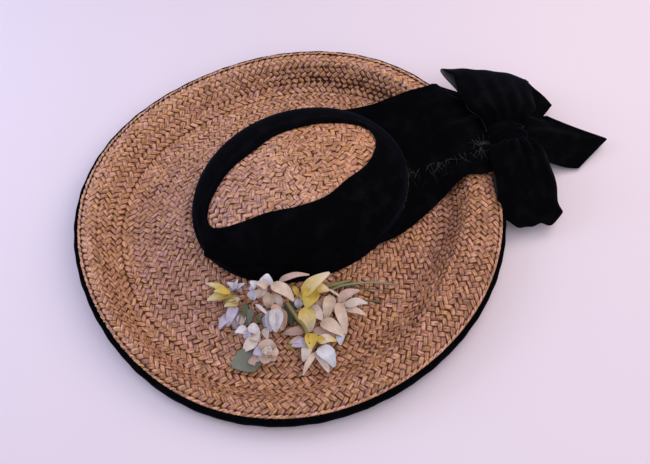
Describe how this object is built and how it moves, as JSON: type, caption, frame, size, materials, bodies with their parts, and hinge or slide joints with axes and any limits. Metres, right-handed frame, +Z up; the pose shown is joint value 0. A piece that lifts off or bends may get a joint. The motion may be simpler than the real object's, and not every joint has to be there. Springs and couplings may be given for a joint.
{
  "type": "wide-brimmed straw hat",
  "caption": "Wide-brimmed plaited-straw hat with a low oval crown, black velvet band, bound edge, big velvet bow at the back and a posy of cloth flowers.",
  "frame": {"origin": "middle of the whole object's box in plan, on the surface that the hat lies on", "axes": "+X from the hat's front to its back and the bow, +Z up through the crown"},
  "size_m": [0.4946, 0.3792, 0.062],
  "materials": {
    "straw": "plaited natural straw, slightly glossy",
    "velvet": "black silk velvet, satin back",
    "cream_cloth": "stiffened cotton petals, matt",
    "yellow_cloth": "stiffened cotton petals dyed yellow at the throat, matt",
    "lilac_cloth": "stiffened cotton petals, pale lilac, matt",
    "green_cloth": "waxed cotton leaves and wrapped stems"
  },
  "bodies": {
    "root": {"crown": "straw", "brim": "straw", "edge_binding": "velvet", "crown_band": "velvet", "sash": "velvet", "bow_knot": "velvet", "bow_loop_far": "velvet", "bow_loop_near": "velvet", "bow_tail_short": "velvet", "bow_tail_long": "velvet", "leaf_round": "green_cloth", "leaf_dark": "green_cloth", "stem_pale": "green_cloth", "stem_olive": "green_cloth", "stem_dark": "green_cloth", "blossom_fan": "lilac_cloth", "lily_side": "yellow_cloth", "rose": "cream_cloth", "blossom_white": "lilac_cloth", "lily_star": "cream_cloth", "blossom_cream": "cream_cloth", "rosebud": "cream_cloth", "lily_trumpet": "yellow_cloth", "blossom_top": "cream_cloth", "blossom_lilac": "lilac_cloth", "blossom_small": "lilac_cloth"}
  },
  "joints": []
}
